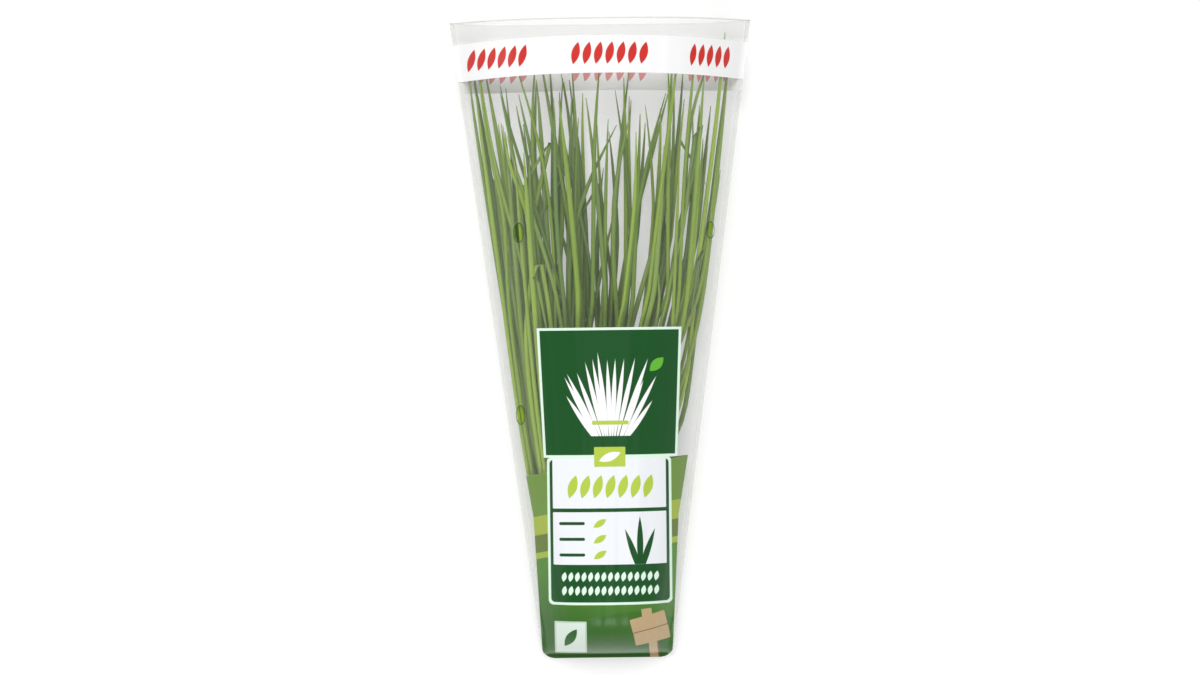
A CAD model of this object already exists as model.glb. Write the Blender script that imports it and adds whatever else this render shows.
"""Looks of a chive bunch lying in its printed film sleeve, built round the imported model.

The sleeve lies along +Y with its mouth at +Y, on the plane z = 0, its printed front up. Distances
called "along" run from the sleeve's bottom edge towards its mouth, and "across" runs along X.
"""

import logging
import math
import random
from dataclasses import dataclass, field, replace
from enum import Enum
from typing import Callable, Optional, Union

import bpy
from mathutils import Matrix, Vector, noise

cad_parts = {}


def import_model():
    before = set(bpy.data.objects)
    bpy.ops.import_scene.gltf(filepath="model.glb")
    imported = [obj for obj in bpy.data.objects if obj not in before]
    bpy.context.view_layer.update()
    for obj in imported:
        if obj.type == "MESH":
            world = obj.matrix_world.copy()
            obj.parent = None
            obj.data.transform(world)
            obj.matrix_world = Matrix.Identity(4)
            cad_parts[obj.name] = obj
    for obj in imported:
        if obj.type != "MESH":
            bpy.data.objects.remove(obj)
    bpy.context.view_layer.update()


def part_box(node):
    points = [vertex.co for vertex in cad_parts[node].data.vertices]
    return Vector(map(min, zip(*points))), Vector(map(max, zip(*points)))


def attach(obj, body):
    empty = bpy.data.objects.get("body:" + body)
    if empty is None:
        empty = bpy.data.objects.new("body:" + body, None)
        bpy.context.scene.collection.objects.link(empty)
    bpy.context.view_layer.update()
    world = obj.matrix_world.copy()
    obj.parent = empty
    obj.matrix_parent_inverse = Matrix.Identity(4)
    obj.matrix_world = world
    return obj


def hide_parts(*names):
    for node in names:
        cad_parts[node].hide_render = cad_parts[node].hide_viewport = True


LOG = logging.getLogger("chive_bunch")
ROOT = "root"
MM = 0.001

Socket = bpy.types.NodeSocket
Value = Union[Socket, float]
Colour = tuple[float, float, float]


def clamp(value: float, low: float = 0.0, high: float = 1.0) -> float:
    """Return value kept between low and high."""
    return max(low, min(high, value))


def smooth(value: float) -> float:
    """Return an eased step of value, 0 below 0 and 1 above 1."""
    share = clamp(value)
    return share * share * (3.0 - 2.0 * share)


# ---------------------------------------------------------------------------------------------
# Shape of the sleeve and the bunch
# ---------------------------------------------------------------------------------------------


@dataclass(frozen=True)
class SleeveShape:
    """The room between the two films of the sleeve, in metres.

    Attributes mirror the sleeve's driving sizes; length and mouth width come from the model.
    """

    length: float
    mouth_half_width: float
    bottom_half_width: float = 0.0354
    corner_radius: float = 0.006
    film_thickness: float = 0.0004
    clearance: float = 0.0003
    weld_width: float = 0.0025
    bottom_height: float = 0.039
    mouth_height: float = 0.062
    closing_length: float = 0.022
    weld_height_share: float = 0.4
    arch_power: float = 2.8
    flat_share: float = 0.62

    def half_width(self, along: float) -> float:
        """Return half the sleeve's width, with its two rounded bottom corners."""
        widening = (self.mouth_half_width - self.bottom_half_width) * along / self.length
        straight = self.bottom_half_width + widening
        if along >= self.corner_radius:
            return straight
        missing = 1.0 - along / self.corner_radius
        return straight - self.corner_radius * (1.0 - math.sqrt(1.0 - missing**2))

    def room_height(self, along: float) -> float:
        """Return the height of the room inside on the centre line."""
        full = self.bottom_height + (self.mouth_height - self.bottom_height) * along / self.length
        closing = clamp((along - self.weld_width) / self.closing_length)
        return full * math.sqrt(1.0 - (1.0 - closing) ** 2)

    def weld_height(self, along: float) -> float:
        """Return the height where the two films meet."""
        base = self.film_thickness + self.clearance / 2
        return base + self.weld_height_share * self.room_height(along)

    def across_share(self, across: float, along: float) -> float:
        """Return 0 on the centre line and 1 from the inner edge of the side weld outwards."""
        return clamp(abs(across) / (self.half_width(along) - self.weld_width))

    def front_inside(self, across: float, along: float) -> float:
        """Return the height of the front film's inner face."""
        arch = 1.0 - self.across_share(across, along) ** self.arch_power
        rise = (1.0 - self.weld_height_share) * self.room_height(along) * arch
        return self.weld_height(along) + self.clearance / 2 + rise

    def back_inside(self, across: float, along: float) -> float:
        """Return the height of the back film's inner face."""
        turn = clamp((self.across_share(across, along) - self.flat_share) / (1.0 - self.flat_share))
        top = self.weld_height(along) - self.clearance / 2
        return self.film_thickness + (top - self.film_thickness) * turn**2


@dataclass(frozen=True)
class LeafSettings:
    """One leaf's place in the bunch and its own form."""

    layer: int
    even: float
    gap: float
    sway: float
    swing: float
    ripple: float
    tip: float
    cut: float
    radius: float
    drift: float
    wave: float
    phase: float


@dataclass(frozen=True)
class BunchShape:
    """How the leaves fan out from the tie in thin layers, in metres."""

    sleeve: SleeveShape
    layers: int = 12
    tie_along: float = 0.072
    tie_half_width: float = 0.0195
    tie_power: float = 2.1
    offset: float = -0.0115
    offset_power: float = 0.9
    spread: float = 0.066
    spread_length: float = 0.270
    spread_power: float = 0.8
    cut_end_along: float = 0.027
    cut_end_stagger: float = 0.006
    cut_end_flare: float = 0.0020
    leaf_spacing: float = 0.00262
    lowest_leaf: float = 0.0024
    tie_lift: float = 0.0027
    tie_lift_reach: float = 0.050
    pitch_bottom: float = 0.0021
    pitch_mouth: float = 0.0044
    leaf_margin: float = 0.0007
    lean_left: float = -0.07
    layer_sway: tuple[float, float] = (0.10, 0.30)
    layer_swing: float = 0.16
    layer_ripple: float = 0.09
    leaf_drift: float = 0.85
    drift_power: float = 1.5
    leaf_wave: float = 0.30
    base_radius: float = 0.00112
    full_radius: tuple[float, float] = (0.00110, 0.00148)
    tip_radius: float = 0.00022
    full_share: tuple[float, float] = (0.40, 0.80)
    taper_power: float = 1.8
    tip_range: tuple[float, float, float] = (0.240, 0.312, 0.343)
    short_tip_range: tuple[float, float] = (0.165, 0.235)
    short_chance: float = 0.10
    band_half_length: float = 0.0030
    band_grow: float = 0.0019
    seed: int = 41

    def opened(self, along: float) -> float:
        """Return how far the bunch has opened: 0 at the tie, 1 where it is widest."""
        return clamp((along - self.tie_along - self.band_half_length) / self.spread_length)

    def layer_height(self, layer: float, along: float) -> float:
        """Return the height of a layer's leaf centres."""
        lift = self.tie_lift * math.exp(-(((along - self.tie_along) / self.tie_lift_reach) ** 2))
        pitch = self.pitch_bottom
        pitch += (self.pitch_mouth - self.pitch_bottom) * along / self.sleeve.length
        return self.lowest_leaf + lift + pitch * layer

    def layer_tie_half_width(self, layer: int) -> float:
        """Return a layer's half width at the tie, where the bunch has a rounded outline."""
        from_middle = abs(layer - (self.layers - 1) / 2) / (self.layers / 2)
        return self.tie_half_width * (1.0 - from_middle**self.tie_power) ** (1.0 / self.tie_power)

    def widest_across(self, height: float, along: float, radius: float) -> float:
        """Return how far from the centre line a leaf at this height clears both films."""
        room = self.sleeve.room_height(along)
        weld = self.sleeve.weld_height(along)
        film = self.sleeve.film_thickness
        flat = self.sleeve.flat_share
        needed = radius + self.leaf_margin
        above = (height + needed - weld) / ((1.0 - self.sleeve.weld_height_share) * room)
        under_arch = (1.0 - clamp(above)) ** (1.0 / self.sleeve.arch_power)
        below = (height - needed - film) / (weld - film)
        over_turn = flat + (1.0 - flat) * math.sqrt(clamp(below))
        inner = self.sleeve.half_width(along) - self.sleeve.weld_width
        return min(under_arch, over_turn) * inner - needed

    def layer_span(self, layer: int, along: float) -> tuple[float, float]:
        """Return the left and right limits of a layer's leaf centres."""
        share = self.opened(along)
        centre = self.offset * (1.0 - share**self.offset_power)
        before_tie = clamp((self.tie_along - along) / self.tie_along)
        half = self.layer_tie_half_width(layer) + self.spread * share**self.spread_power
        half += self.cut_end_flare * before_tie**2
        limit = self.widest_across(self.layer_height(layer, along), along, self.full_radius[1])
        return max(centre - half, -limit), min(centre + half, limit)

    def leaf_plan(self) -> list[LeafSettings]:
        """Return every leaf of the bunch, layer by layer."""
        draw = random.Random(self.seed)
        leaves = []
        for layer in range(self.layers):
            count = int(2.0 * self.layer_tie_half_width(layer) / self.leaf_spacing) + 1
            sway = self.lean_left + draw.uniform(*self.layer_sway) * (-1) ** layer
            swing = draw.uniform(-self.layer_swing, self.layer_swing)
            ripple = draw.uniform(0.0, 2.0 * math.pi)
            for place in range(count):
                even = -1.0 + 2.0 * place / (count - 1)
                short = draw.random() < self.short_chance
                low, usual, high = self.tip_range
                tall_tip = draw.triangular(low, high, usual)
                short_tip = draw.uniform(*self.short_tip_range)
                leaves.append(
                    LeafSettings(
                        layer=layer,
                        even=even,
                        gap=2.0 / (count - 1),
                        sway=sway,
                        swing=swing,
                        ripple=ripple,
                        tip=short_tip if short else tall_tip,
                        cut=self.cut_end_along + draw.uniform(-1.0, 1.0) * self.cut_end_stagger / 2,
                        radius=draw.uniform(*self.full_radius),
                        drift=draw.uniform(-self.leaf_drift, self.leaf_drift),
                        wave=draw.uniform(-self.leaf_wave, self.leaf_wave),
                        phase=draw.uniform(0.0, 2.0 * math.pi),
                    )
                )
        return leaves

    def leaf_point(self, leaf: LeafSettings, share: float) -> Vector:
        """Return a point of a leaf's centre line, share 0 at the cut end and 1 at the tip."""
        along = leaf.cut + (leaf.tip - leaf.cut) * share
        left, right = self.layer_span(leaf.layer, along)
        open_share = self.opened(along)
        stray = leaf.drift * open_share**self.drift_power
        stray += leaf.wave * open_share * math.sin(leaf.phase + 2.0 * math.pi * share)
        place = leaf.even + leaf.gap * stray
        bend = leaf.sway * open_share + leaf.swing * math.sin(math.pi * open_share)
        turn = leaf.ripple + 2.0 * math.pi * leaf.even
        bend += self.layer_ripple * open_share * math.sin(turn)
        place += bend * (1.0 - clamp(place, -1.0, 1.0) ** 2)
        across = (left + right) / 2 + clamp(place, -1.0, 1.0) * (right - left) / 2
        height = self.layer_height(leaf.layer, along)
        return Vector((across, along - self.sleeve.length / 2, height))

    def leaf_radius(self, leaf: LeafSettings, share: float) -> float:
        """Return the leaf's radius: it swells above its cut end and tapers over its upper part."""
        full_from, full_to = self.full_share
        if share < full_from:
            return self.base_radius + (leaf.radius - self.base_radius) * share / full_from
        taper = clamp((share - full_to) / (1.0 - full_to))
        return self.tip_radius + (leaf.radius - self.tip_radius) * (1.0 - taper**self.taper_power)


# ---------------------------------------------------------------------------------------------
# Modelling and shading helpers
# ---------------------------------------------------------------------------------------------


def deselect_all() -> None:
    """Leave edit mode and deselect every object."""
    if bpy.context.object and bpy.context.object.mode != "OBJECT":
        bpy.ops.object.mode_set(mode="OBJECT")
    bpy.ops.object.select_all(action="DESELECT")


def make_active(piece: bpy.types.Object) -> None:
    """Select one object alone and make it the active one."""
    deselect_all()
    piece.select_set(True)
    bpy.context.view_layer.objects.active = piece


def apply_modifiers(piece: bpy.types.Object) -> None:
    """Apply every modifier of a piece in order."""
    make_active(piece)
    for modifier in list(piece.modifiers):
        bpy.ops.object.modifier_apply(modifier=modifier.name)


def finish_piece(
    piece: bpy.types.Object,
    finish: bpy.types.Material,
    nodes: tuple[str, ...] = (),
) -> None:
    """Dress a finished mesh and tie it to the frame.

    Args:
        piece: The finished object, with its place in its mesh.
        finish: Its material.
        nodes: The CAD nodes that it stands for.
    """
    piece.data.materials.clear()
    piece.data.materials.append(finish)
    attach(piece, ROOT)
    if nodes:
        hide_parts(*nodes)
    stands_for = ", ".join(nodes) or "nothing in the model"
    LOG.info("%s: %d faces, for %s", piece.name, len(piece.data.polygons), stands_for)


class Graph:
    """A short way to write shader maths in one node tree."""

    def __init__(self, tree: bpy.types.NodeTree) -> None:
        """Remember the tree that nodes are added to."""
        self.tree = tree

    def put(self, kind: str, **settings: object) -> bpy.types.Node:
        """Add a node and set its plain properties."""
        node = self.tree.nodes.new(kind)
        for name, value in settings.items():
            setattr(node, name, value)
        return node

    def feed(self, socket: Socket, value: object) -> None:
        """Link a socket into an input, or set the input's own value."""
        if isinstance(value, bpy.types.NodeSocket):
            self.tree.links.new(value, socket)
        elif isinstance(value, tuple) and len(value) == 3 and socket.type == "RGBA":
            socket.default_value = (*value, 1.0)
        else:
            socket.default_value = value

    def math(self, operation: str, *values: Value, limit: bool = False) -> Socket:
        """Add a Math node and return its value."""
        node = self.put("ShaderNodeMath", operation=operation, use_clamp=limit)
        for number, value in enumerate(values):
            self.feed(node.inputs[number], value)
        return node.outputs[0]

    def mix(self, share: Value, first: object, second: object) -> Socket:
        """Return a colour between first and second."""
        node = self.put("ShaderNodeMix", data_type="RGBA")
        self.feed(node.inputs[0], share)
        self.feed(node.inputs[6], first)
        self.feed(node.inputs[7], second)
        return node.outputs[2]

    def ramp(self, value: Value, start: float, end: float) -> Socket:
        """Return an eased 0 to 1 as value goes from start to end."""
        node = self.put("ShaderNodeMapRange", interpolation_type="SMOOTHSTEP")
        self.feed(node.inputs["Value"], value)
        self.feed(node.inputs["From Min"], start)
        self.feed(node.inputs["From Max"], end)
        return node.outputs["Result"]

    def noise(self, vector: Socket, scale: float, detail: float = 3.0, rough: float = 0.5) -> Socket:
        """Return a noise value from 0 to 1."""
        node = self.put("ShaderNodeTexNoise")
        self.feed(node.inputs["Vector"], vector)
        self.feed(node.inputs["Scale"], scale)
        self.feed(node.inputs["Detail"], detail)
        self.feed(node.inputs["Roughness"], rough)
        return node.outputs["Fac"]

    def stretched(self, vector: Socket, scale: Colour) -> Socket:
        """Return a vector scaled by a different amount along each axis."""
        node = self.put("ShaderNodeVectorMath", operation="MULTIPLY")
        self.feed(node.inputs[0], vector)
        self.feed(node.inputs[1], scale)
        return node.outputs[0]

    def group(self, tree: bpy.types.NodeTree, **values: object) -> Socket:
        """Place a node group, feed its inputs by name and return its first output."""
        node = self.put("ShaderNodeGroup", node_tree=tree)
        for name, value in values.items():
            self.feed(node.inputs[name.replace("_", " ")], value)
        return node.outputs[0]

    def either(self, *masks: Socket) -> Socket:
        """Return where any of the masks is on."""
        joined = masks[0]
        for mask in masks[1:]:
            joined = self.math("MAXIMUM", joined, mask)
        return joined


def new_group(name: str, inputs: tuple[str, ...], output: str) -> tuple[bpy.types.NodeTree, Graph, Socket]:
    """Start a shader node group of plain number inputs, with one output.

    Args:
        name: The group's name.
        inputs: The names of its inputs; one called Place is a vector.
        output: The name of its output.

    Returns:
        The group, its graph and the input socket of its output node.
    """
    tree = bpy.data.node_groups.new(name, "ShaderNodeTree")
    for label in inputs:
        kind = "NodeSocketVector" if label == "Place" else "NodeSocketFloat"
        tree.interface.new_socket(name=label, in_out="INPUT", socket_type=kind)
    tree.interface.new_socket(name=output, in_out="OUTPUT", socket_type="NodeSocketFloat")
    return tree, Graph(tree), tree.nodes.new("NodeGroupOutput").inputs[0]


class PrintShapes:
    """Node groups that draw the plain shapes of the sleeve's print, in metres."""

    EDGE = 0.00022

    def __init__(self) -> None:
        """Build each group once."""
        self.patch = self._patch()
        self.leaf = self._leaf()
        self.leaf_row = self._leaf_row()
        self.crinkle = self._crinkle()

    @staticmethod
    def _turned(graph: Graph, source: bpy.types.Node) -> tuple[Socket, Socket]:
        """Return X and Y from a shape's own centre, turned by its tilt."""
        ins = source.outputs
        away_x = graph.math("SUBTRACT", ins["X"], ins["Centre X"])
        away_y = graph.math("SUBTRACT", ins["Y"], ins["Centre Y"])
        cosine = graph.math("COSINE", ins["Tilt"])
        sine = graph.math("SINE", ins["Tilt"])
        side = graph.math("ADD", graph.math("MULTIPLY", away_x, cosine), graph.math("MULTIPLY", away_y, sine))
        up = graph.math(
            "SUBTRACT", graph.math("MULTIPLY", away_y, cosine), graph.math("MULTIPLY", away_x, sine)
        )
        return side, up

    def _soft(self, graph: Graph, distance: Socket) -> Socket:
        """Return 1 inside and 0 outside of a signed distance, with a crisp printed edge."""
        return graph.math("SUBTRACT", 0.5, graph.math("DIVIDE", distance, self.EDGE), limit=True)

    def _patch(self) -> bpy.types.NodeTree:
        """Build a rectangle with rounded corners."""
        names = ("X", "Y", "Centre X", "Centre Y", "Half Width", "Half Length", "Corner", "Tilt")
        tree, graph, out = new_group("print_patch", names, "Mask")
        source = graph.put("NodeGroupInput")
        side, up = self._turned(graph, source)
        beyond = []
        for place, half in ((side, "Half Width"), (up, "Half Length")):
            inner = graph.math("SUBTRACT", source.outputs[half], source.outputs["Corner"])
            beyond.append(graph.math("SUBTRACT", graph.math("ABSOLUTE", place), inner))
        outside = [graph.math("MAXIMUM", amount, 0.0) for amount in beyond]
        squares = [graph.math("MULTIPLY", amount, amount) for amount in outside]
        corner = graph.math("SQRT", graph.math("ADD", *squares))
        inside = graph.math("MINIMUM", graph.math("MAXIMUM", *beyond), 0.0)
        distance = graph.math("SUBTRACT", graph.math("ADD", corner, inside), source.outputs["Corner"])
        tree.links.new(self._soft(graph, distance), out)
        return tree

    def _leaf(self) -> bpy.types.NodeTree:
        """Build a leaf outline, pointed at both ends."""
        names = ("X", "Y", "Centre X", "Centre Y", "Half Width", "Half Length", "Tilt")
        tree, graph, out = new_group("print_leaf", names, "Mask")
        source = graph.put("NodeGroupInput")
        side, up = self._turned(graph, source)
        share = graph.math("DIVIDE", up, source.outputs["Half Length"])
        full = graph.math("SUBTRACT", 1.0, graph.math("MULTIPLY", share, share))
        wide = graph.math("MULTIPLY", source.outputs["Half Width"], full)
        distance = graph.math("SUBTRACT", graph.math("ABSOLUTE", side), wide)
        tree.links.new(self._soft(graph, distance), out)
        return tree

    def _leaf_row(self) -> bpy.types.NodeTree:
        """Build a row of equal tilted leaves."""
        names = ("X", "Y", "Centre X", "Centre Y", "Half Width", "Half Length", "Count", "Tilt")
        tree, graph, out = new_group("print_leaf_row", names, "Mask")
        source = graph.put("NodeGroupInput")
        ins = source.outputs
        away = graph.math("SUBTRACT", ins["X"], ins["Centre X"])
        pitch = graph.math("DIVIDE", graph.math("MULTIPLY", ins["Half Width"], 2.0), ins["Count"])
        cells = graph.math("DIVIDE", graph.math("ADD", away, ins["Half Width"]), pitch)
        local = graph.math("SUBTRACT", graph.math("FRACT", cells), 0.5)
        shape = graph.group(
            self.leaf,
            X=graph.math("MULTIPLY", local, pitch),
            Y=ins["Y"],
            Centre_X=0.0,
            Centre_Y=ins["Centre Y"],
            Half_Width=graph.math("MULTIPLY", pitch, 0.36),
            Half_Length=ins["Half Length"],
            Tilt=ins["Tilt"],
        )
        within = graph.math("LESS_THAN", graph.math("ABSOLUTE", away), ins["Half Width"])
        tree.links.new(graph.math("MULTIPLY", shape, within), out)
        return tree

    @staticmethod
    def _crinkle() -> bpy.types.NodeTree:
        """Build the fine height of handled film: long soft folds and sharp little creases."""
        tree, graph, out = new_group("film_crinkle", ("Place", "Folds", "Creases"), "Height")
        source = graph.put("NodeGroupInput")
        place = source.outputs["Place"]
        folds = graph.noise(graph.stretched(place, (60.0, 9.0, 60.0)), 1.0, 3.0, 0.45)
        cells = graph.put("ShaderNodeTexVoronoi", feature="DISTANCE_TO_EDGE")
        bent = graph.noise(place, 70.0, 2.0)
        moved = graph.put("ShaderNodeVectorMath", operation="ADD")
        graph.feed(moved.inputs[0], graph.stretched(place, (70.0, 26.0, 70.0)))
        graph.feed(moved.inputs[1], bent)
        graph.feed(cells.inputs["Vector"], moved.outputs[0])
        graph.feed(cells.inputs["Scale"], 1.0)
        crease = graph.ramp(cells.outputs["Distance"], 0.0, 0.16)
        total = graph.math(
            "ADD",
            graph.math("MULTIPLY", folds, source.outputs["Folds"]),
            graph.math("MULTIPLY", crease, source.outputs["Creases"]),
        )
        tree.links.new(total, out)
        return tree


# ---------------------------------------------------------------------------------------------
# Finishes
# ---------------------------------------------------------------------------------------------


@dataclass(frozen=True)
class PrintColours:
    """Inks of the sleeve's print, as linear colours."""

    clear: Colour = (0.58, 0.59, 0.56)
    white: Colour = (0.86, 0.86, 0.86)
    red: Colour = (0.58, 0.024, 0.018)
    red_reverse: Colour = (0.72, 0.27, 0.27)
    dark_green: Colour = (0.006, 0.074, 0.013)
    outline: Colour = (0.68, 0.85, 0.72)
    panel: Colour = (0.78, 0.80, 0.83)
    lime: Colour = (0.42, 0.55, 0.060)
    hill_middle: Colour = (0.150, 0.270, 0.050)
    hill_lime: Colour = (0.36, 0.46, 0.060)
    hill_olive: Colour = (0.125, 0.185, 0.035)
    hill_bright: Colour = (0.085, 0.245, 0.030)
    hill_deep: Colour = (0.018, 0.110, 0.014)
    rim: Colour = (0.030, 0.060, 0.020)
    board: Colour = (0.50, 0.37, 0.21)
    board_line: Colour = (0.20, 0.10, 0.045)


class Side(Enum):
    """Which film of the sleeve a finish is for."""

    FRONT = "front"
    BACK = "back"


@dataclass(frozen=True)
class PrintedFilm:
    """Clear glossy film with the sleeve's print on it.

    Attributes:
        side: Which film it is for.
        half_length: Half the sleeve's length, so that places can be given from its bottom edge.
        bottom_half_width: The sleeve's half width at the bottom edge.
        widening: How much the half width grows for each metre along.
        vents: Across, along, half width and half length of each vent hole.
        haze: How much an unprinted face hides, seen square on.
        edge_haze: How much more it hides, seen along its surface.
        mouth_haze: How much more it hides between the white band and the mouth.
    """

    side: Side
    half_length: float
    bottom_half_width: float
    widening: float
    vents: tuple[tuple[float, float, float, float], ...]
    haze: float = 0.032
    edge_haze: float = 0.10
    mouth_haze: float = 0.06
    colours: PrintColours = field(default_factory=PrintColours)

    def build(self, shapes: PrintShapes) -> bpy.types.Material:
        """Return the film's material."""
        made = bpy.data.materials.new(f"sleeve_film_{self.side.value}")
        made.use_nodes = True
        graph = Graph(made.node_tree)
        shader = made.node_tree.nodes["Principled BSDF"]
        place = graph.put("ShaderNodeTexCoord").outputs["Object"]
        split = graph.put("ShaderNodeSeparateXYZ")
        graph.feed(split.inputs[0], place)
        across, length = split.outputs["X"], split.outputs["Y"]
        along = graph.math("ADD", length, self.half_length)

        ink, colour = self._band(graph, shapes, across, along)
        if self.side is Side.FRONT:
            ink, colour = self._hills(graph, across, along, ink, colour)
            ink, colour = self._label(graph, shapes, across, along, ink, colour)
            ink, colour = self._vent_rims(graph, across, along, ink, colour)
        else:
            ink, colour = self._hills(graph, across, along, ink, colour)

        facing = graph.put("ShaderNodeLayerWeight")
        facing.inputs["Blend"].default_value = 0.35
        weld = self._weld(graph, across, along)
        patchy = graph.noise(place, 28.0, 2.0)
        haze = graph.math("MULTIPLY", graph.math("ADD", 0.6, patchy), self.haze)
        haze = graph.math("ADD", haze, graph.math("MULTIPLY", facing.outputs["Facing"], self.edge_haze))
        haze = graph.math("ADD", haze, graph.math("MULTIPLY", weld, 0.07))
        mouth = graph.ramp(along, 338.0 * MM, 341.0 * MM)
        haze = graph.math("ADD", haze, graph.math("MULTIPLY", mouth, self.mouth_haze))
        rim = graph.ramp(along, 2.0 * self.half_length - 0.9 * MM, 2.0 * self.half_length - 0.5 * MM)
        rim_strength = 0.34 if self.side is Side.FRONT else 0.04
        haze = graph.math("ADD", haze, graph.math("MULTIPLY", rim, rim_strength), limit=True)
        hidden = graph.math("MAXIMUM", haze, ink)
        graph.feed(shader.inputs["Alpha"], hidden)
        graph.feed(shader.inputs["Base Color"], colour)
        roughness = graph.math("ADD", 0.10, graph.math("MULTIPLY", ink, 0.16))
        roughness = graph.math("ADD", roughness, graph.math("MULTIPLY", patchy, 0.10))
        graph.feed(shader.inputs["Roughness"], roughness)
        shader.inputs["IOR"].default_value = 1.5
        shader.inputs["Specular IOR Level"].default_value = 0.3
        bump = graph.put("ShaderNodeBump")
        bump.inputs["Strength"].default_value = 0.35
        bump.inputs["Distance"].default_value = 0.001
        height = graph.group(shapes.crinkle, Place=place, Folds=1.0, Creases=0.035)
        ribs = graph.math("SINE", graph.math("MULTIPLY", along, 2400.0))
        height = graph.math("ADD", height, graph.math("MULTIPLY", graph.math("MULTIPLY", ribs, weld), 0.04))
        graph.feed(bump.inputs["Height"], height)
        graph.feed(shader.inputs["Normal"], bump.outputs[0])
        return made

    def _weld(self, graph: Graph, across: Socket, along: Socket) -> Socket:
        """Return where the film is welded to the other one, along its sides and bottom."""
        edge = graph.math("ADD", self.bottom_half_width, graph.math("MULTIPLY", along, self.widening))
        from_edge = graph.math("SUBTRACT", edge, graph.math("ABSOLUTE", across))
        sides = graph.ramp(from_edge, 2.6 * MM, 2.2 * MM)
        return graph.either(sides, graph.ramp(along, 2.6 * MM, 2.2 * MM))

    def _band(
        self, graph: Graph, shapes: PrintShapes, across: Socket, along: Socket
    ) -> tuple[Socket, Socket]:
        """Return the ink and colour of the white band near the mouth, with its leaf rows."""
        lower = 0.0 if self.side is Side.FRONT else 6.3 * MM
        share = graph.math("DIVIDE", across, 0.075)
        curve = graph.math("MULTIPLY", graph.math("MULTIPLY", share, share), 2.3 * MM)
        level = graph.math("ADD", graph.math("ADD", along, curve), lower)
        bottom = graph.ramp(level, 319.9 * MM, 320.2 * MM)
        top = graph.ramp(level, 340.6 * MM, 340.3 * MM)
        band = graph.math("MULTIPLY", bottom, top)
        rows = graph.either(
            *(
                graph.group(
                    shapes.leaf_row,
                    X=across,
                    Y=level,
                    Centre_X=centre,
                    Centre_Y=330.8 * MM,
                    Half_Width=half,
                    Half_Length=6.2 * MM,
                    Count=count,
                    Tilt=tilt,
                )
                for centre, half, count, tilt in (
                    (-56.4 * MM, 17.0 * MM, 6.0, -0.30),
                    (5.0 * MM, 21.5 * MM, 7.0, -0.24),
                    (59.6 * MM, 11.6 * MM, 5.0, -0.18),
                )
            )
        )
        colour = graph.mix(band, self.colours.clear, self.colours.white)
        red = self.colours.red if self.side is Side.FRONT else self.colours.red_reverse
        colour = graph.mix(graph.math("MULTIPLY", rows, band), colour, red)
        return graph.math("MULTIPLY", band, 0.94), colour

    def _hills(
        self, graph: Graph, across: Socket, along: Socket, ink: Socket, colour: Socket
    ) -> tuple[Socket, Socket]:
        """Add the rolling hills round the sleeve's lower end."""
        pale = self.colours
        narrow = graph.math("ADD", 35.6 * MM, graph.math("MULTIPLY", along, 0.053))
        flared = graph.math("ADD", 26.3 * MM, graph.math("MULTIPLY", along, 0.17))
        edge = graph.math("MAXIMUM", narrow, flared)
        inside = graph.ramp(graph.math("SUBTRACT", edge, graph.math("ABSOLUTE", across)), -0.2 * MM, 0.2 * MM)
        slow = graph.math("SINE", graph.math("ADD", graph.math("MULTIPLY", across, 62.0), 2.3))
        wave = graph.math("MULTIPLY", slow, 1.6 * MM)
        rise = graph.math("MULTIPLY", across, 0.13)
        level = graph.math("SUBTRACT", graph.math("SUBTRACT", along, wave), rise)
        below_top = graph.ramp(level, 107.6 * MM, 107.2 * MM)
        deep = graph.ramp(graph.math("ADD", along, graph.math("MULTIPLY", across, 0.25)), 58.0 * MM, 2.0 * MM)
        ground = graph.mix(deep, pale.hill_bright, pale.hill_deep)
        second = graph.math("SINE", graph.math("ADD", graph.math("MULTIPLY", across, 85.0), 0.4))
        ridge = graph.math("SUBTRACT", along, graph.math("MULTIPLY", second, 3.4 * MM))
        lower_hill = graph.ramp(ridge, 24.2 * MM, 23.8 * MM)
        ground = graph.mix(graph.math("MULTIPLY", lower_hill, 0.45), ground, pale.hill_deep)
        layers = (
            (64.2, pale.hill_olive),
            (73.9, pale.hill_lime),
            (84.3, pale.hill_middle),
        )
        painted = ground
        for start, shade in layers:
            above = graph.ramp(level, (start - 0.2) * MM, (start + 0.2) * MM)
            painted = graph.mix(above, painted, shade)
        lime_gap = graph.ramp(level, 60.6 * MM, 61.2 * MM)
        low_lime = graph.math("MULTIPLY", lime_gap, graph.ramp(level, 64.4 * MM, 64.0 * MM))
        painted = graph.mix(low_lime, painted, pale.hill_lime)
        grain = graph.noise(graph.put("ShaderNodeTexCoord").outputs["Object"], 60.0, 4.0)
        painted = graph.mix(graph.math("MULTIPLY", grain, 0.22), painted, pale.hill_olive)
        mask = graph.math("MULTIPLY", inside, below_top)
        return graph.either(ink, graph.math("MULTIPLY", mask, 0.96)), graph.mix(mask, colour, painted)

    def _vent_rims(
        self, graph: Graph, across: Socket, along: Socket, ink: Socket, colour: Socket
    ) -> tuple[Socket, Socket]:
        """Darken the cut rim round each vent hole."""
        rims = []
        for centre_x, centre_y, wide, long in self.vents:
            side = graph.math("DIVIDE", graph.math("SUBTRACT", across, centre_x), wide)
            up = graph.math("DIVIDE", graph.math("SUBTRACT", along, centre_y), long)
            squares = graph.math("ADD", graph.math("MULTIPLY", side, side), graph.math("MULTIPLY", up, up))
            rims.append(graph.ramp(squares, 1.55, 1.15))
        rim = graph.either(*rims)
        return graph.either(ink, graph.math("MULTIPLY", rim, 0.7)), graph.mix(rim, colour, self.colours.rim)

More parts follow.
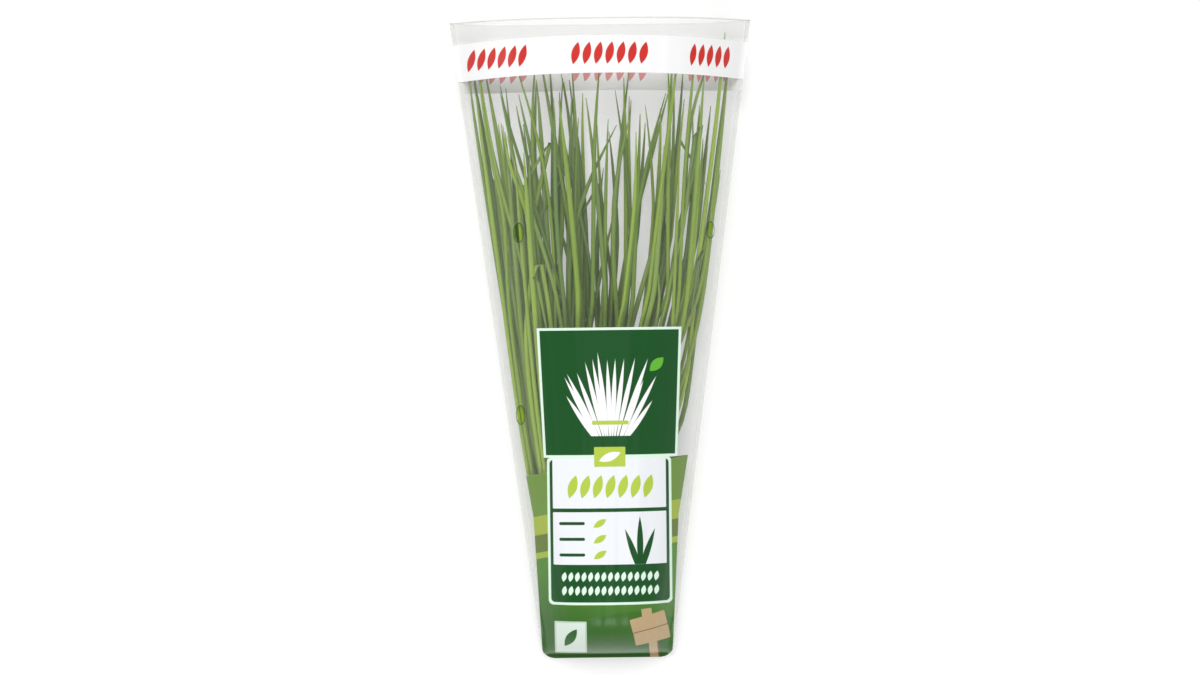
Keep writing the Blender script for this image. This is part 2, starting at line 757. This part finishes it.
    def _tapered_square(self, graph: Graph, across: Socket, along: Socket, size: float) -> Socket:
        """Return the label square, which widens a little towards the mouth; size in millimetres."""
        middle_x, middle_y, length_less, widening = 2.9, 147.0, 6.0, 1.12
        up = graph.math("SUBTRACT", along, middle_y * MM)
        grown = graph.math("ADD", 1.0, graph.math("MULTIPLY", up, widening))
        side = graph.math("DIVIDE", graph.math("SUBTRACT", across, middle_x * MM), grown)
        from_side = graph.math("SUBTRACT", graph.math("ABSOLUTE", side), (size - 3.2) / 2 * MM)
        from_end = graph.math("SUBTRACT", graph.math("ABSOLUTE", up), (size - 3.2 - length_less + 0.6) / 2 * MM)
        distance = graph.math("MAXIMUM", from_side, from_end)
        return graph.ramp(distance, 0.12 * MM, -0.12 * MM)

    def _label(
        self,
        graph: Graph,
        shapes: PrintShapes,
        across: Socket,
        along: Socket,
        ink: Socket,
        colour: Socket,
    ) -> tuple[Socket, Socket]:
        """Add the label: a dark square with a chive tuft over a pale panel, and the sign below."""
        inks = self.colours

        def patch(
            centre_x: float, centre_y: float, width: float, length: float, corner: float = 0.4, tilt: float = 0.0
        ) -> Socket:
            """Return a rectangle's mask, sizes in millimetres."""
            return graph.group(
                shapes.patch,
                X=across,
                Y=along,
                Centre_X=centre_x * MM,
                Centre_Y=centre_y * MM,
                Half_Width=width / 2 * MM,
                Half_Length=length / 2 * MM,
                Corner=corner * MM,
                Tilt=tilt,
            )

        def leaf(centre_x: float, centre_y: float, width: float, length: float, tilt: float) -> Socket:
            """Return a leaf's mask, sizes in millimetres."""
            return graph.group(
                shapes.leaf,
                X=across,
                Y=along,
                Centre_X=centre_x * MM,
                Centre_Y=centre_y * MM,
                Half_Width=width / 2 * MM,
                Half_Length=length / 2 * MM,
                Tilt=tilt,
            )

        def paint(base: Socket, mask: Socket, shade: object) -> Socket:
            """Return the base colour with a shape painted over it."""
            return graph.mix(mask, base, shade)

        # Lower panel: pale, with a thin frame, a divider, a leaf row, rules and a dark foot
        outer = patch(2.0, 71.6, 67.8, 80.8, 2.6)
        colour = paint(colour, outer, inks.outline)
        colour = paint(colour, patch(2.0, 71.6, 65.0, 78.0, 2.2), inks.dark_green)
        colour = paint(colour, patch(2.0, 97.5, 61.8, 27.0), inks.panel)
        colour = paint(colour, patch(2.0, 67.6, 61.8, 28.7), inks.panel)
        row = graph.group(
            shapes.leaf_row,
            X=across,
            Y=along,
            Centre_X=2.6 * MM,
            Centre_Y=95.8 * MM,
            Half_Width=24.0 * MM,
            Half_Length=6.6 * MM,
            Count=7.0,
            Tilt=-0.30,
        )
        colour = paint(colour, row, inks.lime)
        for level in (75.8, 67.2, 58.6):
            colour = paint(colour, patch(-18.6, level, 14.0, 1.7, 0.8), inks.dark_green)
            colour = paint(colour, leaf(-3.4, level, 3.4, 8.4, -1.0), inks.lime)
        sprig = graph.either(
            *(leaf(18.4 + 3.0 * lean, 64.0 - 6.0 * lean * lean, 3.4, 31.0, -0.34 * lean) for lean in (-2, -1, 0, 1, 2))
        )
        above_foot = graph.ramp(along, 53.1 * MM, 53.4 * MM)
        colour = paint(colour, graph.math("MULTIPLY", sprig, above_foot), inks.dark_green)
        for level in (46.6, 39.0):
            dots = graph.group(
                shapes.leaf_row,
                X=across,
                Y=along,
                Centre_X=2.0 * MM,
                Centre_Y=level * MM,
                Half_Width=27.0 * MM,
                Half_Length=2.7 * MM,
                Count=15.0,
                Tilt=-0.2,
            )
            colour = paint(colour, dots, inks.outline)

        # Dark square with its pale outline, a tuft of slim white leaves and a small lime tab
        square_out = self._tapered_square(graph, across, along, 79.2)
        colour = paint(colour, square_out, inks.outline)
        colour = paint(colour, self._tapered_square(graph, across, along, 76.4), inks.dark_green)
        draw = random.Random(12)
        tuft = []
        for number in range(-7, 8):
            lean = number * 0.082 + draw.uniform(-0.04, 0.04)
            reach = 55.0 - 0.34 * number * number - draw.uniform(0.0, 10.0)
            base_x, base_y = 2.9 + number * 0.9, 118.5
            middle_x = base_x + math.sin(lean) * reach / 2
            middle_y = base_y + math.cos(lean) * reach / 2
            tuft.append(leaf(middle_x, middle_y, 2.5, reach, -lean))
        above_cut = graph.ramp(along, 123.2 * MM, 123.5 * MM)
        colour = paint(colour, graph.math("MULTIPLY", graph.either(*tuft), above_cut), inks.white)
        colour = paint(colour, patch(2.9, 130.6, 20.0, 2.2, 0.9), inks.lime)
        colour = paint(colour, leaf(28.5, 162.0, 5.4, 10.5, -0.8), (0.115, 0.42, 0.035))
        colour = paint(colour, patch(2.4, 112.0, 17.0, 10.8, 0.5), inks.lime)
        colour = paint(colour, leaf(2.4, 112.0, 4.4, 12.5, -1.2), inks.white)

        # Bare pale square and plain wooden sign on the hills
        colour = paint(colour, patch(-20.1, 12.9, 17.6, 18.6, 0.5), (0.50, 0.62, 0.50))
        colour = paint(colour, patch(-20.1, 12.9, 15.8, 16.8, 0.3), (0.66, 0.76, 0.68))
        colour = paint(colour, leaf(-20.1, 12.9, 5.0, 12.0, -0.6), inks.hill_deep)
        post = graph.either(patch(25.3, 5.2, 4.6, 14.0, 0.2, 0.10), patch(21.6, 26.3, 5.6, 5.0, 0.3, 0.10))
        colour = paint(colour, patch(27.3, 5.2, 2.0, 14.0, 0.2, 0.10), inks.board_line)
        boards = graph.either(post, patch(22.6, 21.2, 19.6, 8.0, 0.7, 0.24), patch(24.4, 13.6, 19.6, 7.8, 0.7, 0.20))
        stain = graph.noise(graph.put("ShaderNodeTexCoord").outputs["Object"], 300.0, 3.0)
        wood = graph.mix(graph.math("MULTIPLY", stain, 0.5), inks.board, (0.40, 0.27, 0.13))
        colour = paint(colour, boards, wood)
        colour = paint(colour, patch(23.5, 17.4, 19.0, 0.5, 0.2, 0.22), inks.board_line)

        printed = graph.either(outer, square_out, boards)
        return graph.either(ink, graph.math("MULTIPLY", printed, 0.985)), colour


@dataclass(frozen=True)
class ChiveSkin:
    """The skin of a chive leaf: fine ribs, a waxy bloom and a green that varies along it."""

    young: Colour = (0.320, 0.480, 0.034)
    grown: Colour = (0.060, 0.142, 0.006)
    base: Colour = (0.34, 0.45, 0.14)
    bloom: Colour = (0.165, 0.250, 0.090)
    dry: Colour = (0.42, 0.40, 0.16)

    def build(self, name: str) -> bpy.types.Material:
        """Return the leaf material, read from each leaf's own share, side and tint."""
        made = bpy.data.materials.new(name)
        made.use_nodes = True
        graph = Graph(made.node_tree)
        shader = made.node_tree.nodes["Principled BSDF"]
        share, side, tint, wax = (
            graph.put("ShaderNodeAttribute", attribute_name=label).outputs["Fac"]
            for label in ("leaf_share", "leaf_side", "leaf_tint", "leaf_wax")
        )
        place = graph.put("ShaderNodeTexCoord").outputs["Object"]
        mottle = graph.noise(graph.stretched(place, (240.0, 22.0, 240.0)), 1.0, 3.0)
        green = graph.mix(tint, self.grown, self.young)
        green = graph.mix(graph.math("MULTIPLY", mottle, 0.45), green, self.grown)
        green = graph.mix(graph.ramp(share, 0.16, 0.0), green, self.base)
        bloom = graph.math("MULTIPLY", wax, graph.ramp(share, 0.25, 0.95))
        green = graph.mix(graph.math("MULTIPLY", bloom, 0.55), green, self.bloom)
        tip = graph.math("MULTIPLY", graph.ramp(share, 0.965, 1.0), graph.ramp(wax, 0.2, 0.9))
        green = graph.mix(tip, green, self.dry)
        ribs = graph.math("SINE", graph.math("MULTIPLY", side, 2.0 * math.pi * 14.0))
        green = graph.mix(graph.math("MULTIPLY", graph.ramp(ribs, 0.2, 1.0), 0.16), green, self.young)
        graph.feed(shader.inputs["Base Color"], green)
        graph.feed(shader.inputs["Roughness"], graph.math("ADD", 0.36, graph.math("MULTIPLY", mottle, 0.22)))
        shader.inputs["Specular IOR Level"].default_value = 0.45
        bump = graph.put("ShaderNodeBump")
        bump.inputs["Strength"].default_value = 0.35
        bump.inputs["Distance"].default_value = 0.0002
        graph.feed(bump.inputs["Height"], graph.math("ADD", ribs, mottle))
        graph.feed(shader.inputs["Normal"], bump.outputs[0])
        return made


@dataclass(frozen=True)
class BandRubber:
    """Tan natural rubber with a dusty skin."""

    colour: Colour = (0.56, 0.36, 0.14)
    dust: Colour = (0.68, 0.52, 0.30)

    def build(self) -> bpy.types.Material:
        """Return the band's material."""
        made = bpy.data.materials.new("band_rubber")
        made.use_nodes = True
        graph = Graph(made.node_tree)
        shader = made.node_tree.nodes["Principled BSDF"]
        place = graph.put("ShaderNodeTexCoord").outputs["Object"]
        speckle = graph.noise(place, 900.0, 4.0)
        graph.feed(shader.inputs["Base Color"], graph.mix(speckle, self.colour, self.dust))
        graph.feed(shader.inputs["Roughness"], graph.math("ADD", 0.5, graph.math("MULTIPLY", speckle, 0.3)))
        bump = graph.put("ShaderNodeBump")
        bump.inputs["Strength"].default_value = 0.3
        bump.inputs["Distance"].default_value = 0.0002
        graph.feed(bump.inputs["Height"], speckle)
        graph.feed(shader.inputs["Normal"], bump.outputs[0])
        return made


# ---------------------------------------------------------------------------------------------
# Sub-assemblies
# ---------------------------------------------------------------------------------------------


@dataclass
class FilmSleeve:
    """The two films of the sleeve, welded along their edges and a little creased."""

    shape: SleeveShape
    tie_along: float
    vents: tuple[tuple[float, float, float, float], ...] = (
        (-0.0457, 0.2344, 0.0027, 0.0050),
        (0.0589, 0.2350, 0.0021, 0.0042),
        (-0.0460, 0.1350, 0.0023, 0.0048),
    )
    thickness: float = 0.00016
    columns: int = 96
    rows: int = 190
    row_crowding: float = 1.25
    fold_depth: float = 0.0011
    pinch_height: float = 0.0010

    def build(self, shapes: PrintShapes) -> None:
        """Model both films and dress them."""
        for side in Side:
            film = self._film(side)
            finish = PrintedFilm(
                side=side,
                half_length=self.shape.length / 2,
                bottom_half_width=self.shape.bottom_half_width,
                widening=(self.shape.mouth_half_width - self.shape.bottom_half_width) / self.shape.length,
                vents=self.vents,
            ).build(shapes)
            finish_piece(film, finish, (f"sleeve_{side.value}_film",))

    def _free(self, across: float, along: float) -> float:
        """Return 1 where the film hangs free and 0 at its welds."""
        from_weld = 1.0 - self.shape.across_share(across, along)
        return smooth(from_weld / 0.18) * smooth((along - self.shape.weld_width) / 0.012)

    def _creasing(self, across: float, along: float) -> float:
        """Return how far handling has pushed the front film out of its smooth arch."""
        fan = across / self.shape.half_width(along)
        folds = noise.noise(Vector((fan * 5.5, along * 7.0, 3.1)))
        folds += 0.45 * noise.noise(Vector((fan * 13.0, along * 16.0, 8.4)))
        pinch = math.exp(-(((along - self.tie_along) / 0.007) ** 2))
        pinch *= 0.55 + 0.45 * noise.noise(Vector((across * 90.0, along * 60.0, 1.7)))
        dents = max(0.0, noise.noise(Vector((across * 130.0, along * 34.0, 5.2))) - 0.15)
        dents *= smooth((0.062 - along) / 0.02)
        rise = self.fold_depth * folds + self.pinch_height * pinch + 0.0005 * dents
        return max(rise, -0.0002) * self._free(across, along)

    def _film(self, side: Side) -> bpy.types.Object:
        """Shape one film from a grid, cut its vents and give it its thickness."""
        deselect_all()
        bpy.ops.mesh.primitive_grid_add(x_subdivisions=self.columns, y_subdivisions=self.rows, size=1.0)
        film = bpy.context.object
        film.name = film.data.name = f"film_{side.value}"
        for vertex in film.data.vertices:
            along = self.shape.length * (vertex.co.y + 0.5) ** self.row_crowding
            across = 2.0 * vertex.co.x * self.shape.half_width(along)
            if side is Side.FRONT:
                height = self.shape.front_inside(across, along) + self._creasing(across, along) + 0.00004
            else:
                height = self.shape.back_inside(across, along) - 0.00004
            vertex.co = (across, along - self.shape.length / 2, height)
        wall = film.modifiers.new("wall", "SOLIDIFY")
        wall.thickness = self.thickness
        wall.offset = 1.0 if side is Side.FRONT else -1.0
        apply_modifiers(film)
        if side is Side.FRONT:
            self._cut_vents(film)
        make_active(film)
        bpy.ops.object.shade_smooth_by_angle(angle=math.radians(40))
        return film

    def _cut_vents(self, film: bpy.types.Object) -> None:
        """Punch the oval vent holes through the front film."""
        for across, along, wide, long in self.vents:
            deselect_all()
            place = (across, along - self.shape.length / 2, self.shape.mouth_height / 2)
            bpy.ops.mesh.primitive_cylinder_add(vertices=40, radius=1.0, depth=0.09, location=place)
            punch = bpy.context.object
            punch.scale = (wide, long, 1.0)
            bpy.ops.object.transform_apply(location=True, rotation=True, scale=True)
            cut = film.modifiers.new("vent", "BOOLEAN")
            cut.operation = "DIFFERENCE"
            cut.object = punch
            apply_modifiers(film)
            bpy.data.objects.remove(punch)


@dataclass(frozen=True)
class Habit:
    """How one leaf strays from the even fan.

    Attributes:
        lean: How far its tip strays across, in metres.
        lean_power: How late along its length it strays.
        bow: How far it bows to and fro on the way, in metres.
        turns: How many half waves it bows in.
        lift: How much higher its tip lies, in metres.
        fold: The share of its length where it is folded over, or 2 for a leaf left whole.
    """

    lean: float = 0.0
    lean_power: float = 1.35
    bow: float = 0.0
    turns: float = 1.0
    lift: float = 0.0
    fold: float = 2.0


@dataclass
class LeafBunch:
    """All the leaves: those the model holds, each its own piece, and the ones between them."""

    shape: BunchShape
    rings: int = 30
    sides: int = 10
    modelled_step: int = 3
    hollow_depth: float = 0.010
    colour_seed: int = 97
    habit_seed: int = 23
    lean_spread: float = 0.032
    largest_lean: float = 0.062
    outward_lean: float = 0.020
    edge_share: float = 0.80
    edge_lean: tuple[float, float] = (-0.014, 0.034)
    bow_spread: float = 0.0060
    edge_bow: float = 1.6
    tip_lift: float = 0.0014
    missing_left: float = 0.24
    missing_right: float = 0.44
    fold_chance: float = 0.06
    tall_chance: float = 0.07
    tall_tip: tuple[float, float] = (0.3425, 0.3465)

    def build(self) -> None:
        """Model every leaf and dress it."""
        skin = ChiveSkin().build("chive_skin")
        template = self._template()
        draw = random.Random(self.colour_seed)
        habits = random.Random(self.habit_seed)
        between: dict[int, list[bpy.types.Object]] = {}
        modelled = 0
        for number, settings in enumerate(self.shape.leaf_plan()):
            in_model = number % self.modelled_step == 1
            habit = self._modelled_habit(habits) if in_model else self._habit(settings, habits)
            missing = self.missing_left if settings.even < -0.2 else self.missing_right
            if not in_model and habits.random() < missing:
                continue
            if not in_model and habits.random() < self.tall_chance:
                settings = replace(settings, tip=habits.uniform(*self.tall_tip))
            leaf = self._leaf(template, settings, habit, draw)
            if in_model:
                modelled += 1
                leaf.name = leaf.data.name = f"chive_{modelled:02d}"
                finish_piece(leaf, skin, (f"leaf_{modelled:02d}",))
            else:
                between.setdefault(settings.layer, []).append(leaf)
        for layer, leaves in between.items():
            joined = self._joined(leaves, f"chives_between_{layer:02d}")
            finish_piece(joined, skin)
        bpy.data.objects.remove(template)

    def _template(self) -> bpy.types.Object:
        """Model one straight leaf of unit size: a tube with a hollow cut end and a closed tip."""
        deselect_all()
        bpy.ops.mesh.primitive_circle_add(vertices=self.sides, radius=1.0, fill_type="NGON")
        leaf = bpy.context.object
        leaf.name = "leaf_template"
        bpy.ops.object.mode_set(mode="EDIT")
        bpy.ops.mesh.select_all(action="SELECT")
        for _ in range(self.rings):
            bpy.ops.mesh.extrude_region_move(TRANSFORM_OT_translate={"value": (0.0, 0.0, 1.0 / self.rings)})
        bpy.ops.object.mode_set(mode="OBJECT")
        self._select_end(leaf, at_tip=False)
        bpy.ops.object.mode_set(mode="EDIT")
        bpy.ops.mesh.inset(thickness=0.34)
        bpy.ops.mesh.extrude_region_move(TRANSFORM_OT_translate={"value": (0.0, 0.0, self.hollow_depth)})
        bpy.ops.mesh.select_all(action="SELECT")
        bpy.ops.mesh.normals_make_consistent(inside=False)
        bpy.ops.object.mode_set(mode="OBJECT")
        return leaf

    @staticmethod
    def _select_end(leaf: bpy.types.Object, at_tip: bool) -> None:
        """Select the flat face at one end of the straight leaf."""
        bpy.ops.object.mode_set(mode="EDIT")
        bpy.ops.mesh.select_mode(type="FACE")
        bpy.ops.mesh.select_all(action="DESELECT")
        bpy.ops.object.mode_set(mode="OBJECT")
        end = 1.0 if at_tip else 0.0
        for face in leaf.data.polygons:
            face.select = abs(face.center.z - end) < 0.001 and abs(face.normal.z) > 0.9

    def _modelled_habit(self, draw: random.Random) -> Habit:
        """Draw the small stray of a leaf that stands for one in the model."""
        return Habit(
            lean=clamp(draw.gauss(0.0, 0.004), -0.006, 0.006),
            bow=clamp(draw.gauss(0.0, 0.002), -0.003, 0.003),
            turns=draw.uniform(1.2, 3.2),
        )

    def _habit(self, settings: LeafSettings, draw: random.Random) -> Habit:
        """Draw how a leaf between the modelled ones strays; outer leaves lean outwards."""
        outward = self.outward_lean * settings.even
        lean = clamp(draw.gauss(outward, self.lean_spread), -self.largest_lean, self.largest_lean)
        upper = settings.layer >= self.shape.layers - 3
        folded = draw.random() < self.fold_chance * (3.0 if upper else 1.0)
        at_edge = abs(settings.even) > self.edge_share
        if at_edge:
            lean = math.copysign(draw.uniform(*self.edge_lean), settings.even)
        return Habit(
            lean=lean,
            lean_power=0.6 if at_edge else 1.35,
            bow=draw.gauss(0.0, self.bow_spread) * (self.edge_bow if at_edge else 1.0),
            turns=draw.uniform(1.2, 3.2),
            lift=draw.uniform(0.0, self.tip_lift),
            fold=draw.uniform(0.80, 0.93) if folded else 2.0,
        )

    def _path(self, settings: LeafSettings, habit: Habit, share: float) -> Vector:
        """Return a point of a leaf's centre line, with its habit and kept clear of the film."""
        flat_share = min(share, habit.fold)
        point = self.shape.leaf_point(settings, flat_share)
        length = self.shape.sleeve.length
        along = point.y + length / 2
        opened = self.shape.opened(along)
        across = point.x + habit.lean * opened**habit.lean_power
        across += habit.bow * opened * math.sin(math.pi * habit.turns * opened)
        height = point.z + habit.lift * opened
        if share > habit.fold:
            beyond = (share - habit.fold) * (settings.tip - settings.cut)
            along -= 0.86 * beyond
            across += math.copysign(0.5, habit.lean) * beyond
            height += min(0.0022, 0.6 * beyond)
        limit = self.shape.widest_across(height, along, settings.radius)
        share_out = abs(across) / limit
        if share_out > 0.86:
            share_out = 0.86 + 0.14 * math.tanh((share_out - 0.86) / 0.14)
        return Vector((math.copysign(share_out * limit, across), along - length / 2, height))

    def _leaf(
        self, template: bpy.types.Object, settings: LeafSettings, habit: Habit, draw: random.Random
    ) -> bpy.types.Object:
        """Copy the straight leaf and bend it along its own path."""
        leaf = template.copy()
        leaf.data = template.data.copy()
        bpy.context.collection.objects.link(leaf)
        tint = clamp(draw.gauss(0.46, 0.40))
        wax = clamp(draw.gauss(0.35, 0.35))
        flatness = draw.uniform(0.76, 0.97)
        broad = draw.uniform(0.80, 1.06)
        values: dict[str, list[float]] = {"share": [], "side": [], "tint": [], "wax": []}
        for vertex in leaf.data.vertices:
            share = clamp(vertex.co.z)
            centre = self._path(settings, habit, share)
            ahead = self._path(settings, habit, min(share + 0.01, 1.0))
            behind = self._path(settings, habit, max(share - 0.01, 0.0))
            forward = (ahead - behind).normalized()
            sideways = forward.cross(Vector((0.0, 0.0, 1.0))).normalized()
            upwards = sideways.cross(forward)
            radius = self.shape.leaf_radius(settings, share)
            values["share"].append(share)
            values["side"].append((math.atan2(vertex.co.y, vertex.co.x) / math.pi + 1.0) / 2)
            values["tint"].append(tint)
            values["wax"].append(wax)
            wide = radius * (1.0 + (broad - 1.0) * smooth((centre.y + self.shape.sleeve.length / 2 - 0.11) / 0.08))
            offset = sideways * (vertex.co.x * wide) + upwards * (vertex.co.y * radius * flatness)
            vertex.co = centre + offset
        for label, numbers in values.items():
            layer = leaf.data.attributes.new(f"leaf_{label}", "FLOAT", "POINT")
            layer.data.foreach_set("value", numbers)
        leaf.data.update()
        make_active(leaf)
        bpy.ops.object.shade_smooth_by_angle(angle=math.radians(60))
        return leaf

    @staticmethod
    def _joined(leaves: list[bpy.types.Object], name: str) -> bpy.types.Object:
        """Join one layer's leaves into one piece."""
        deselect_all()
        for leaf in leaves:
            leaf.select_set(True)
        bpy.context.view_layer.objects.active = leaves[0]
        bpy.ops.object.join()
        joined = bpy.context.object
        joined.name = joined.data.name = name
        return joined


@dataclass
class TieBand:
    """The rubber band round the bunch, near its cut ends."""

    shape: BunchShape
    segments: int = 96
    thickness: float = 0.0010
    half_length: float = 0.0029

    def build(self) -> None:
        """Model the band from an open ring and dress it."""
        bunch = self.shape
        low = bunch.layer_height(0, bunch.tie_along)
        high = bunch.layer_height(bunch.layers - 1, bunch.tie_along)
        half_high = (high - low) / 2 * bunch.layers / (bunch.layers - 1) + bunch.band_grow + 0.00005
        half_wide = bunch.tie_half_width + bunch.band_grow + 0.00005
        deselect_all()
        bpy.ops.mesh.primitive_cylinder_add(
            vertices=self.segments, radius=1.0, depth=2.0, end_fill_type="NOTHING"
        )
        band = bpy.context.object
        band.name = band.data.name = "rubber_band"
        for vertex in band.data.vertices:
            turn = math.atan2(vertex.co.y, vertex.co.x)
            wide = math.copysign(abs(math.cos(turn)) ** (2.0 / bunch.tie_power), math.cos(turn))
            tall = math.copysign(abs(math.sin(turn)) ** (2.0 / bunch.tie_power), math.sin(turn))
            vertex.co = (
                bunch.offset + half_wide * wide,
                bunch.tie_along - bunch.sleeve.length / 2 - vertex.co.z * self.half_length,
                (low + high) / 2 + half_high * tall,
            )
        wall = band.modifiers.new("wall", "SOLIDIFY")
        wall.thickness = self.thickness
        wall.offset = 1.0
        soft = band.modifiers.new("soft_edges", "BEVEL")
        soft.width = 0.00022
        soft.segments = 2
        soft.limit_method = "ANGLE"
        apply_modifiers(band)
        bpy.ops.object.shade_smooth_by_angle(angle=math.radians(40))
        finish_piece(band, BandRubber().build(), ("tie_band",))


@dataclass
class Studio:
    """A pale floor, soft lights and a camera that looks straight down on the sleeve."""

    frame_width: float = 0.6598
    distance: float = 2.7
    focus_height: float = 0.015
    centre: tuple[float, float] = (-0.0021, 0.0019)
    roll: float = math.radians(-0.70)
    floor_size: float = 8.0

    def build(self) -> None:
        """Set up the floor, the lights and the camera."""
        self._floor()
        self._light("key_light", (-0.12, 0.95, 2.2), 0.9, 31.0)
        self._light("fill_light", (0.10, -1.45, 1.95), 1.3, 21.0)
        self._light("side_light", (-1.6, 0.2, 0.62), 0.35, 2.5)
        self._world()
        bpy.context.scene.view_settings.view_transform = "Standard"
        camera = bpy.data.cameras.new("camera")
        camera.sensor_width = 36.0
        camera.lens = camera.sensor_width * self.distance / self.frame_width
        camera.clip_end = 30.0
        seen_from = bpy.data.objects.new("camera", camera)
        seen_from.location = (*self.centre, self.distance + self.focus_height)
        seen_from.rotation_euler = (0.0, 0.0, self.roll)
        bpy.context.collection.objects.link(seen_from)
        bpy.context.scene.camera = seen_from

    @staticmethod
    def _world() -> None:
        """Surround the sleeve with soft white light that dims overhead, so dark print stays dark."""
        world = bpy.data.worlds.new("studio")
        world.use_nodes = True
        graph = Graph(world.node_tree)
        split = graph.put("ShaderNodeSeparateXYZ")
        graph.feed(split.inputs[0], graph.put("ShaderNodeTexCoord").outputs["Generated"])
        overhead = graph.ramp(split.outputs["Z"], 0.55, 0.88)
        background = world.node_tree.nodes["Background"]
        graph.feed(background.inputs["Color"], graph.mix(overhead, (1.0, 1.0, 1.0), (0.60, 0.60, 0.60)))
        background.inputs["Strength"].default_value = 0.56
        bpy.context.scene.world = world

    def _floor(self) -> None:
        """Lay the pale floor."""
        deselect_all()
        bpy.ops.mesh.primitive_plane_add(size=self.floor_size, location=(0.0, 0.0, -0.0002))
        floor = bpy.context.object
        floor.name = "floor"
        paint = bpy.data.materials.new("floor_white")
        paint.use_nodes = True
        shader = paint.node_tree.nodes["Principled BSDF"]
        shader.inputs["Base Color"].default_value = (0.54, 0.54, 0.54, 1.0)
        shader.inputs["Roughness"].default_value = 0.8
        shader.inputs["Specular IOR Level"].default_value = 0.1
        shader.inputs["Emission Color"].default_value = (1.0, 1.0, 1.0, 1.0)
        shader.inputs["Emission Strength"].default_value = 0.43
        floor.data.materials.append(paint)

    @staticmethod
    def _light(name: str, place: tuple[float, float, float], size: float, watts: float) -> None:
        """Add a square soft light aimed at the sleeve."""
        light = bpy.data.lights.new(name, "AREA")
        light.size = size
        light.energy = watts
        lamp = bpy.data.objects.new(name, light)
        lamp.location = place
        lamp.rotation_euler = (-Vector(place)).to_track_quat("-Z", "Y").to_euler()
        bpy.context.collection.objects.link(lamp)


def main() -> None:
    """Build every sub-assembly in order."""
    logging.basicConfig(level=logging.INFO, format="%(name)s: %(message)s")
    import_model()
    low, high = (Vector(corner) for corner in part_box("sleeve_front_film"))
    sleeve = SleeveShape(length=high.y - low.y, mouth_half_width=(high.x - low.x) / 2)
    bunch = BunchShape(sleeve)
    shapes = PrintShapes()
    Studio().build()
    TieBand(bunch).build()
    LeafBunch(bunch).build()
    FilmSleeve(sleeve, bunch.tie_along).build(shapes)


if __name__ == "__main__":
    main()
